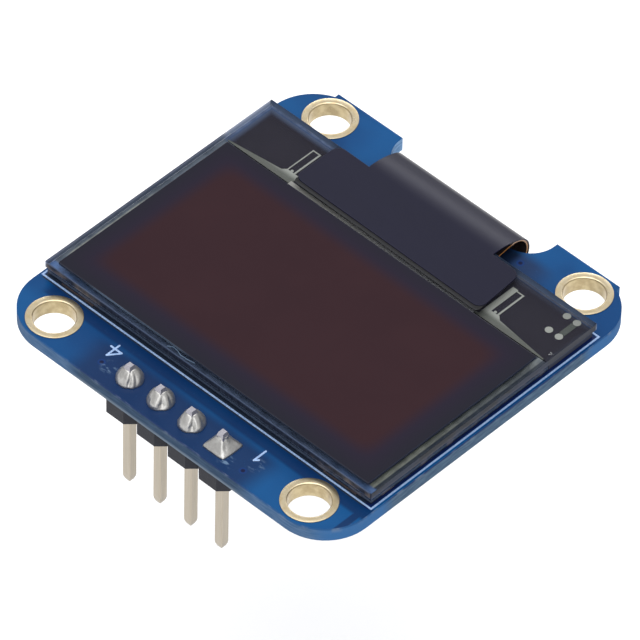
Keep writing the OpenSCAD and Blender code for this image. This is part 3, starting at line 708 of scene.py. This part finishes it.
# Painted light: blue from the board, laid on the left part.
painted_board_blue = times(tree, fade(tree, z, 1.5, 1.59), fade(tree, x, 4.0, -11.0))
dark = blend(tree, painted_board_blue, dark, srgb(60, 92, 156))
wire(shader, Base_Color=blend(tree, amber, dark, srgb(84, 78, 80)))
raise_surface(tree, shader, grain(tree, 0.3, 3), 0.02, 0.4)
dress("cap_glass", lower_finish)

glue_finish, tree, shader = new_finish("cured_glue", srgb(70, 72, 70), 0.3)
wire(shader, Base_Color=mottle(tree, 0.4, 2, srgb(52, 55, 56), srgb(96, 98, 92)))
dress("seal_bead", glue_finish)

sheet_finish, tree, shader = new_finish("drying_sheet_paper", srgb(216, 216, 210), 0.85)
raise_surface(tree, shader, grain(tree, 0.1, 3), 0.02, 0.6)
wire(shader, Base_Color=mottle(tree, 0.2, 2, srgb(206, 206, 198), srgb(226, 226, 220)))
dress("drying_sheet", sheet_finish)
print("inner layers dressed")

# %% [markdown]
# ## Metal printed on the glass
#
# The contacts on the bare ledge and the layers of the lit area are films of metal, much
# thinner than they are wide. The contacts carry a painted highlight, pale grey where light
# catches them, and painted shade close to the film. The driver chip is bare silicon.

# %% Thin metal
contact_finish, tree, shader = new_finish("thin_metal_on_glass", srgb(172, 178, 170), 0.4, 0.15)
contact_y = box_mm("ledge_contacts")[0].y
# Painted highlight far back on the contacts, painted shade near the film.
far_back = fade(tree, split(tree, place_mm(tree))[1], contact_y + 0.3, contact_y + 0.75)
wire(shader,
     Base_Color=blend(tree, far_back, srgb(98, 102, 96), srgb(162, 166, 160)),
     Roughness=between(tree, grain(tree, 0.2, 2), 0.3, 0.5))
dress("ledge_contacts", contact_finish)

layer_finish, tree, shader = new_finish("organic_layer", srgb(60, 32, 34), 0.3)
wire(shader, Base_Color=mottle(tree, 1.0, 2, srgb(54, 28, 30), srgb(68, 38, 40)))
dress("display_layer", layer_finish)

metal_film_finish, tree, shader = new_finish("metal_film", srgb(190, 190, 194), 0.3, 1.0)
wire(shader, Roughness=between(tree, grain(tree, 0.8, 2), 0.2, 0.4))
dress("cathode_film", metal_film_finish)

silicon_finish, tree, shader = new_finish("bare_silicon", srgb(70, 70, 80), 0.2, 0.3)
wire(shader, Base_Color=mottle(tree, 0.3, 2, srgb(60, 60, 70), srgb(84, 84, 94)))
dress("driver_chip", silicon_finish)
print("thin metal starts", round(contact_y, 2), "mm back")

# %% [markdown]
# ## Tapes, foam and folded flex
#
# The black tape is a satin film, so light spreads along its bend in a broad soft band. The
# flexible circuit under it is amber polyimide with fine copper lines that run along its
# length, which is Y here. The foam under the ledge is pressed up against the glass, so it is
# remade with its rounded top just under the glass.

# %% Finishes of the films
FOAM_SPREAD, FOAM_BEVEL, UNDER_GLASS = 0.08, 0.05, 0.03
LINE_PITCH = 0.35

tape_finish, tree, shader = new_finish(
    "satin_black_tape", srgb(10, 10, 30), 0.32,
    Specular_IOR_Level=0.27, Specular_Tint=(0.86, 0.87, 1.0, 1.0))
wrinkle = grain(tree, 1.6, 2, (2.5, 1, 1))
pores = grain(tree, 0.05, 2)
wire(shader, Base_Color=blend(tree, wrinkle, srgb(8, 8, 30), srgb(13, 12, 36)),
     Roughness=between(tree, pores, 0.28, 0.38))
relief = maths(tree, "ADD", times(tree, wrinkle, 0.8), times(tree, pores, 0.1))
raise_surface(tree, shader, relief, 0.02, 0.2)

foam_finish, tree, shader = new_finish("black_foam", srgb(40, 39, 47), 0.8, Specular_IOR_Level=0.1)
x, y, _ = split(tree, place_mm(tree))
foam_colour = mottle(tree, 2.0, 2, srgb(44, 43, 51), srgb(50, 48, 57))
# Light creeps in between glass and foam along the rim, most at the left.
from_side = maths(tree, "SUBTRACT", glass_high.x, away(tree, x))
from_back = maths(tree, "SUBTRACT", glass_high.y, y)
near_rim = fade(tree, maths(tree, "MINIMUM", from_side, from_back), 0.68, 0.08)
lit_rim = blend(tree, fade(tree, x, -4.0, 4.0), srgb(90, 104, 132), srgb(62, 66, 80))
wire(shader, Base_Color=blend(tree, near_rim, foam_colour, lit_rim))
raise_surface(tree, shader, grain(tree, 1.5, 1), 0.005, 0.2)
foam_low, foam_high = box_mm("ledge_foam")
low = (foam_low.x - FOAM_SPREAD, foam_low.y + 0.03, foam_low.z)
high = (foam_high.x + FOAM_SPREAD, foam_high.y + 0.1, glass_low.z - UNDER_GLASS)
foam = block("pressed_foam", low, high, FOAM_BEVEL, foam_finish, 3)
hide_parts("ledge_foam")

amber_finish, tree, shader = new_finish("brown_mounting_tape", srgb(74, 62, 58), 0.4)
wire(shader, Base_Color=mottle(tree, 0.5, 3, srgb(58, 50, 52), srgb(92, 76, 66)))
for tape in ("mount_tape_left", "mount_tape_right"):
    dress(tape, amber_finish)

flex_finish, tree, shader = new_finish("amber_flex", srgb(150, 100, 34), 0.3, Coat_Weight=0.3)
x, y, _ = split(tree, place_mm(tree))
from_line = away(tree, maths(tree, "FRACT", times(tree, x, 1 / LINE_PITCH)), 0.5)
copper_line = fade(tree, from_line, 0.3, 0.22)
flex_colour = blend(tree, times(tree, copper_line, 0.7), srgb(128, 82, 24), srgb(196, 132, 62))
# Round the bend the flex turns dark, and only its cut edge stays amber.
cut_edge = fade(tree, away(tree, facing(tree)[0]), 0.7, 0.9)
dark_round_bend = times(tree, fade(tree, y, 8.6, 9.4), maths(tree, "SUBTRACT", 1.0, cut_edge))
wire(shader, Base_Color=blend(tree, dark_round_bend, flex_colour, srgb(34, 28, 28)))
raise_surface(tree, shader, copper_line, 0.012, 0.5)
dress("flex_cable", flex_finish)
print("films dressed")

# %% [markdown]
# The tape's neck leaves the glass level, in a wide bend, and then wraps the fold. Flat facets
# would show as stripes on a satin bend, so the neck is remade with a fine, smoothly shaded
# profile: two arcs that share a tangent. Where they meet follows from the two radii and from
# how far the fold lies below the glass.

# %% Bend the tape's neck
WIDE_STEPS, FOLD_STEPS = 24, 60
NECK_END = math.radians(-55)

tape_low, tape_high = box_mm("black_tape")
flex_low, flex_high = box_mm("flex_cable")
thick = tape_high.z - glass_high.z
fold_r = (flex_high.z - flex_low.z) / 2
fold_y, fold_z = flex_high.y - fold_r, (flex_high.z + flex_low.z) / 2
inner_r = tape_high.y - fold_y - thick
out, drop = fold_y - glass_high.y, glass_high.z - fold_z
wide_r = (out ** 2 + drop ** 2 - inner_r ** 2) / 2 / (drop - inner_r)
meet = math.atan2(wide_r - drop, out)
neck_x = flex_high.x + 0.05


def bend(centre, radius, start, stop, steps):
    """Points and directions round an arc, in Y and Z."""
    turns = [start + (stop - start) * k / steps for k in range(steps + 1)]
    return [((centre[0] + radius * math.cos(a), centre[1] + radius * math.sin(a)),
             (math.cos(a), math.sin(a))) for a in turns]


profile = bend((glass_high.y, glass_high.z - wide_r), wide_r, math.pi / 2, meet, WIDE_STEPS)
profile += bend((fold_y, fold_z), inner_r, meet, NECK_END, FOLD_STEPS)[1:]
mesh = bmesh.new()
rows = []
for (py, pz), (ny, nz) in profile:
    corners = [(-neck_x, 0), (neck_x, 0), (neck_x, thick), (-neck_x, thick)]
    rows.append([vertex_at(mesh, px, py + ny * h, pz + nz * h) for px, h in corners])
for before, after in zip(rows, rows[1:]):
    for k in range(4):
        mesh.faces.new((before[k], before[(k + 1) % 4], after[(k + 1) % 4], after[k]))
mesh.faces.new(rows[0])
mesh.faces.new(list(reversed(rows[-1])))
bmesh.ops.recalc_face_normals(mesh, faces=mesh.faces[:])
neck = make_piece("tape_neck", mesh, tape_finish)
neck.data.shade_smooth()
neck.data.set_sharp_from_angle(angle=math.radians(40))
bend_angle = round(90 - math.degrees(meet), 1)
print("neck bends by", bend_angle, "degrees at", round(wide_r, 2), "mm, then at", round(inner_r, 2))

# %% [markdown]
# The tape's plate was laid by hand, so it sits a little askew on the glass. Its glue layer
# is cut a little larger and shows in front of it, with a painted shadow as a dark line where
# the plate ends. Both are flat sheets cut to an outline with rounded corners.

# %% Cut the tape's plate and its glue layer
CORNER, GLUE_CORNER = 0.62, 0.35
CORNER_STEPS = 12
ASKEW = math.radians(-0.75)
FLARE = 0.3
GLUE_FRONT, GLUE_BACK, GLUE_INSET, GLUE_THICK = 0.29, 0.6, 0.16, 0.04
half_x, half_y = (tape_high.x - tape_low.x) / 2 + 0.02, 1.9
plate_x, plate_y = -0.18, glass_high.y - half_y - 0.12


def laid(px, py):
    """A point of the tape as laid: a little askew, and flared at its front right corner."""
    px += FLARE * max(px / half_x, 0) * (0.5 - py / half_y / 2)
    return (plate_x + px * math.cos(ASKEW) - py * math.sin(ASKEW),
            plate_y + px * math.sin(ASKEW) + py * math.cos(ASKEW))


def rounded(front, back, radius, inset=0):
    """A rounded outline on the laid tape, whose left side may be set in."""
    left_x, right_x = -half_x + radius + inset, half_x - radius
    rear_y, fore_y = back - radius, front + radius
    arcs = ((0, right_x, rear_y), (90, left_x, rear_y),
            (180, left_x, fore_y), (270, right_x, fore_y))
    outline = []
    for start, px, py in arcs:
        for k in range(CORNER_STEPS + 1):
            turn = math.radians(start + 90 * k / CORNER_STEPS)
            outline.append(laid(px + radius * math.cos(turn), py + radius * math.sin(turn)))
        if start == 0 and back == half_y:
            # Here the neck leaves, square to the glass's edge.
            for root_x in (neck_x, -neck_x):
                root = [(root_x, laid(root_x - plate_x, back)[1]), (root_x, glass_high.y)]
                outline += root if root_x > 0 else reversed(root)
    return outline


def lift(mesh, outline, low, high):
    """A flat solid from an outline between two heights; returns its upper vertices."""
    bottom, top = ([vertex_at(mesh, px, py, pz) for px, py in outline] for pz in (low, high))
    mesh.faces.new(bottom[::-1])
    mesh.faces.new(top)
    for k in range(len(outline)):
        mesh.faces.new((bottom[k - 1], bottom[k], top[k], top[k - 1]))
    return top


def cut_sheet(name, outline, low, high, finish):
    """A flat sheet with this outline, whose free upper rim is rounded off."""
    mesh = bmesh.new()
    top = lift(mesh, outline, low, high)
    mesh.normal_update()
    root_y = (glass_high.y - 0.01) * MM
    rim = [edge for edge in mesh.edges
           if all(v in top for v in edge.verts) and min(v.co.y for v in edge.verts) < root_y]
    bmesh.ops.bevel(mesh, geom=rim, offset=0.4 * (high - low) * MM, segments=3,
                    affect="EDGES", profile=0.5)
    bmesh.ops.recalc_face_normals(mesh, faces=mesh.faces[:])
    return make_piece(name, mesh, finish)


outline = rounded(-half_y, half_y, CORNER)
plate = cut_sheet("tape_plate", outline, glass_high.z, tape_high.z, tape_finish)
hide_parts("black_tape")

glue_edge_finish, tree, shader = new_finish(
    "tape_glue_edge", srgb(46, 47, 52), 0.5, Specular_IOR_Level=0.27)
x, y, _ = split(tree, place_mm(tree))
slope = times(tree, maths(tree, "SUBTRACT", x, plate_x), math.tan(ASKEW))
behind = maths(tree, "SUBTRACT", y, maths(tree, "ADD", plate_y - half_y, slope))
band = mottle(tree, 0.5, 2, srgb(18, 19, 24), srgb(30, 31, 35))
# A painted shadow: the glue turns dark just in front of where the plate ends.
plate_shadow = fade(tree, behind, -0.16, -0.12)
wire(shader, Base_Color=blend(tree, plate_shadow, band, srgb(8, 8, 12)))
outline = rounded(-half_y - GLUE_FRONT, -half_y + GLUE_BACK, GLUE_CORNER, GLUE_INSET)
cut_sheet("tape_glue", outline, glass_high.z, glass_high.z + GLUE_THICK, glue_edge_finish)
print("plate", round(2 * half_x, 2), "x", round(2 * half_y, 2), "mm")

# %% [markdown]
# ## Ink
#
# The outline round the panel is pale ink. Beside the header's end pins stand the plain
# numbers 1 and 4, printed to be read from the flex's side. They are made from strokes: each
# is a ribbon with rounded ends and the thickness of the ink.

# %% Ink finish and the printed numbers
INK_WIDTH, INK_THICK = 0.13, 0.015
# Each stroke stands a hair higher than the last, so that no two faces coincide.
STROKE_STEP = 0.002
ONE = [[(-0.18, 0.28), (0.02, 0.5), (0.02, -0.5)]]
FOUR = [[(0.1, -0.5), (0.1, 0.5), (-0.41, -0.16), (0.4, -0.16)]]

ink_finish, tree, shader = new_finish("pale_ink", srgb(176, 204, 240), 0.6)
worn = grain(tree, 0.1, 3)
wire(shader, Base_Color=blend(
    tree, fade(tree, worn, 0.4, 0.7), srgb(156, 182, 220), srgb(118, 148, 194)))
raise_surface(tree, shader, worn, 0.01, 0.5)
dress("outline_print", ink_finish)


def half_round(centre, radius, start):
    """Half a circle of points that begins at an angle."""
    turns = [start + k * math.pi / 8 for k in range(9)]
    return [centre + Vector((math.cos(a), math.sin(a))) * radius for a in turns]


def ribbon(name, strokes, width, low, thickness, finish):
    """Flat strokes with round ends, drawn as one piece from points in millimetres."""
    mesh = bmesh.new()
    for points in strokes:
        for order, (start, stop) in enumerate(zip(points, points[1:])):
            start, stop = Vector(start), Vector(stop)
            heading = math.atan2(stop.y - start.y, stop.x - start.x)
            outline = half_round(stop, width / 2, heading - math.pi / 2)
            outline += half_round(start, width / 2, heading + math.pi / 2)
            lift(mesh, outline, low, low + thickness + STROKE_STEP * order)
    bmesh.ops.recalc_face_normals(mesh, faces=mesh.faces[:])
    return make_piece(name, mesh, finish)


def printed(name, strokes, centre, height):
    """Prints a number from strokes on a unit-high grid, turned to be read from the back."""
    turned = [[(centre[0] - px * height, centre[1] - py * height) for px, py in stroke]
              for stroke in strokes]
    ribbon(name, turned, INK_WIDTH, BOARD_TOP, INK_THICK, ink_finish)


row_y = box_mm("header_pin_1")[0].y + 1.25
printed("number_1", ONE, (5.98, row_y), 1.0)
printed("number_4", FOUR, (-5.97, row_y), 1.07)
print("numbers printed at", round(row_y, 2), "mm")

# %% [markdown]
# ## Margin under the glass
#
# Between the film and its sides the glass shows what lies under it: cured glue, a pale line
# of metal on each side, and blue light from the board. Thin strips just under the glass carry
# that look. Round the ledge they are the lit rim between glass and foam.

# %% Margin strips
MARGIN_BACK = -8.85
RIM_WIDTH = 0.19
PAD, BETWEEN, BAR = 0.5, 1.57, 0.42

edge_x, front_y, back_y = glass_high.x - 0.01, glass_low.y + 0.01, glass_high.y - 0.01
under, over = glass_low.z + 0.003, glass_low.z + 0.01


def strip(name, near, far, finish):
    """A thin strip under the glass between two corners, given as X and Y."""
    block(name, (*near, under), (*far, over), 0, finish)


margin_finish, tree, shader = new_finish(
    "margin_under_glass", srgb(44, 50, 66), 0.4, Specular_IOR_Level=0.3)
x, y, _ = split(tree, place_mm(tree))
blotch = times(tree, fade(tree, grain(tree, 0.7, 3), 0.4, 0.65), 0.35)
to_ends = fade(tree, away(tree, x), 8.0, 12.6)
front_margin = blend(tree, to_ends, srgb(100, 118, 150), srgb(100, 132, 184))
pale_right = within(tree, x, 12.42, 12.52, 12.76, 12.86)
line_colour = blend(tree, fade(tree, y, -4.0, 0.5), srgb(160, 166, 156), srgb(130, 138, 140))
right_margin = blend(tree, pale_right, srgb(62, 70, 80), line_colour)
pale_left = times(tree, fade(tree, x, -13.17, -13.1), within(tree, y, -8.2, -7.6, -2.5, 0.5))
left_margin = blend(tree, pale_left, srgb(110, 121, 134), srgb(160, 164, 160))
side_margin = blend(tree, fade(tree, x, -1.0, 1.0), left_margin, right_margin)
margin = blend(tree, fade(tree, y, -8.95, -8.75), front_margin, side_margin)
wire(shader, Base_Color=blend(tree, blotch, margin, srgb(34, 46, 66)))
strip("margin_front", (-edge_x, front_y), (edge_x, MARGIN_BACK), margin_finish)
strip("margin_right", (12.3, MARGIN_BACK), (edge_x, ledge_y), margin_finish)
strip("margin_left", (-edge_x, MARGIN_BACK), (-12.5, ledge_y), margin_finish)

ledge_finish, tree, shader = new_finish(
    "lit_rim_under_ledge", srgb(70, 82, 106), 0.4, Specular_IOR_Level=0.3)
x = split(tree, place_mm(tree))[0]
lit = blend(tree, fade(tree, x, -4.0, 4.0), srgb(106, 122, 153), srgb(90, 95, 108))
blotch = times(tree, fade(tree, grain(tree, 0.6, 3), 0.4, 0.6), 0.5)
wire(shader, Base_Color=blend(tree, blotch, lit, srgb(58, 70, 96)))
for name, side in (("left", -1), ("right", 1)):
    beside_flex = side * (flex_high.x + 0.15)
    near_x, far_x = sorted((side * (glass_high.x - RIM_WIDTH), side * edge_x))
    strip("ledge_side_" + name, (near_x, ledge_y), (far_x, back_y), ledge_finish)
    near_x, far_x = sorted((beside_flex, side * (glass_high.x - RIM_WIDTH - 0.01)))
    strip("ledge_back_" + name, (near_x, foam_high.y + 0.08), (far_x, back_y), ledge_finish)

line_finish, tree, shader = new_finish(
    "pale_line_behind_film", srgb(206, 208, 206), 0.5, Specular_IOR_Level=0.2)
x = split(tree, place_mm(tree))[0]
wire(shader, Base_Color=blend(
    tree, fade(tree, x, -6.0, 3.0), srgb(170, 170, 166), srgb(164, 166, 170)))
strip("line_behind_film", (-8.0, film_high.y + 0.4), (7.2, film_high.y + 0.78),
      line_finish)

# A dull bar joins two of the test pads, and covers the thin link between them.
bar_finish, tree, shader = new_finish("dull_pad_bar", srgb(80, 86, 83), 0.5, Specular_IOR_Level=0.2)
wire(shader, Base_Color=mottle(tree, 0.3, 2, srgb(76, 82, 79), srgb(84, 90, 86)))
bar_x, bar_y = glass_high.x - 1.2, glass_high.y - 0.42
strip("pad_bar", (bar_x - BAR / 2, bar_y - BETWEEN + PAD / 2), (bar_x + BAR / 2, bar_y - PAD / 2),
      bar_finish)
print("strips laid, bar at", round(bar_x, 2), "mm")

# %% [markdown]
# ## Thread and crumbs
#
# Real glue leaves a fine thread where it was drawn off. Pale crumbs at the glass's corners
# stand in for the glints there: painted highlights.

# %% Thread and crumbs
THREAD = [(-3.3, -9.5), (-3.0, -9.32), (-2.6, -9.36), (-2.22, -9.5), (-1.7, -9.47), (-1.19, -9.38)]
THREAD_WIDTH, THREAD_THICK = 0.04, 0.02
# Where the pale crumbs, painted highlights, lie: centre, count and spread.
GLINT_CRUMBS = [((-13.15, 5.6), 9, 0.16), ((-13.1, 9.2), 5, 0.2), ((13.1, 5.85), 8, 0.15),
          ((12.95, -5.1), 2, 0.08), ((12.7, -2.4), 2, 0.1)]

thread_finish, tree, shader = new_finish("glue_thread", srgb(120, 146, 176), 0.3)
wire(shader, Base_Color=mottle(tree, 0.2, 2, srgb(66, 84, 108), srgb(104, 126, 150)))
ribbon("glue_thread", [THREAD], THREAD_WIDTH, glass_high.z, THREAD_THICK, thread_finish)

random.seed(4)
mesh = bmesh.new()
for (centre_x, centre_y), count, spread in GLINT_CRUMBS:
    for _ in range(count):
        radius = random.uniform(0.02, 0.055) * MM / 2
        spot = Vector((centre_x + random.uniform(-spread, spread),
                       centre_y + random.uniform(-spread, spread), glass_high.z + 0.01)) * MM
        made = bmesh.ops.create_icosphere(mesh, subdivisions=1, radius=radius)["verts"]
        for vertex in made:
            vertex.co = spot + vertex.co * random.uniform(0.7, 1.3)
# The crumbs are pale to stand in for glints: painted highlights.
glint_crumb_finish, tree, shader = new_finish("glint_crumb", srgb(190, 194, 196), 0.3)
wire(shader, Base_Color=mottle(tree, 0.1, 2, srgb(150, 156, 160), srgb(214, 216, 216)))
make_piece("glint_crumbs", mesh, glint_crumb_finish)
print("thread and", sum(count for _, count, _ in GLINT_CRUMBS), "crumbs")

# %% [markdown]
# ## Studio
#
# A pale floor lies below the module. One big softbox hangs overhead, a second stands behind
# to draw a soft band along the folded tape, and a weaker one fills in from the front. The
# world adds even light, as white studio walls do. Lengths here are in metres.

# %% Floor, lights and world
FLOOR_BELOW = 0.03
FLOOR_REACH = 2.0
MIDDLE = Vector((0, 0, 0))

floor_finish = new_finish(
    "pale_floor", (0.93, 0.93, 0.93, 1), 0.9, Specular_IOR_Level=0.1,
    Emission_Color=(1, 1, 1, 1), Emission_Strength=0.1)[0]
mesh = bmesh.new()
bmesh.ops.create_grid(mesh, x_segments=8, y_segments=8, size=FLOOR_REACH)
floor = make_object("studio_floor", mesh, floor_finish)
floor.location.z = -FLOOR_BELOW
floor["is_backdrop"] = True


def softbox(name, place, size, power):
    """A rectangular lamp aimed at the middle of the module."""
    data = bpy.data.lights.new(name, "AREA")
    data.shape = "RECTANGLE"
    data.size, data.size_y = size
    data.energy = power
    lamp = bpy.data.objects.new(name, data)
    lamp.location = place
    lamp.rotation_euler = (Vector(place) - MIDDLE).to_track_quat("Z", "Y").to_euler()
    bpy.context.scene.collection.objects.link(lamp)


softbox("overhead", (0.05, -0.1, 0.9), (1.2, 1.2), 8.5)
softbox("behind", (-0.27, 0.43, 0.25), (0.5, 0.1), 0.7)
softbox("front_fill", (0.4, -0.5, 0.35), (0.5, 0.5), 1.2)

world = bpy.data.worlds.new("studio")
world.use_nodes = True
background = world.node_tree.nodes["Background"]
background.inputs["Color"].default_value = (1, 1, 1, 1)
background.inputs["Strength"].default_value = 0.6
bpy.context.scene.world = world
bpy.context.scene.view_settings.view_transform = "Standard"
print("studio ready")

# %% [markdown]
# ## Finish
#
# The box round the dressed module is printed, in millimetres. The dressed module has to
# stay inside the CAD model's box.

# %% Write the sizes and finish
low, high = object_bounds()
print("visual box in mm:", [round(v / MM, 2) for v in (*low, *high)])
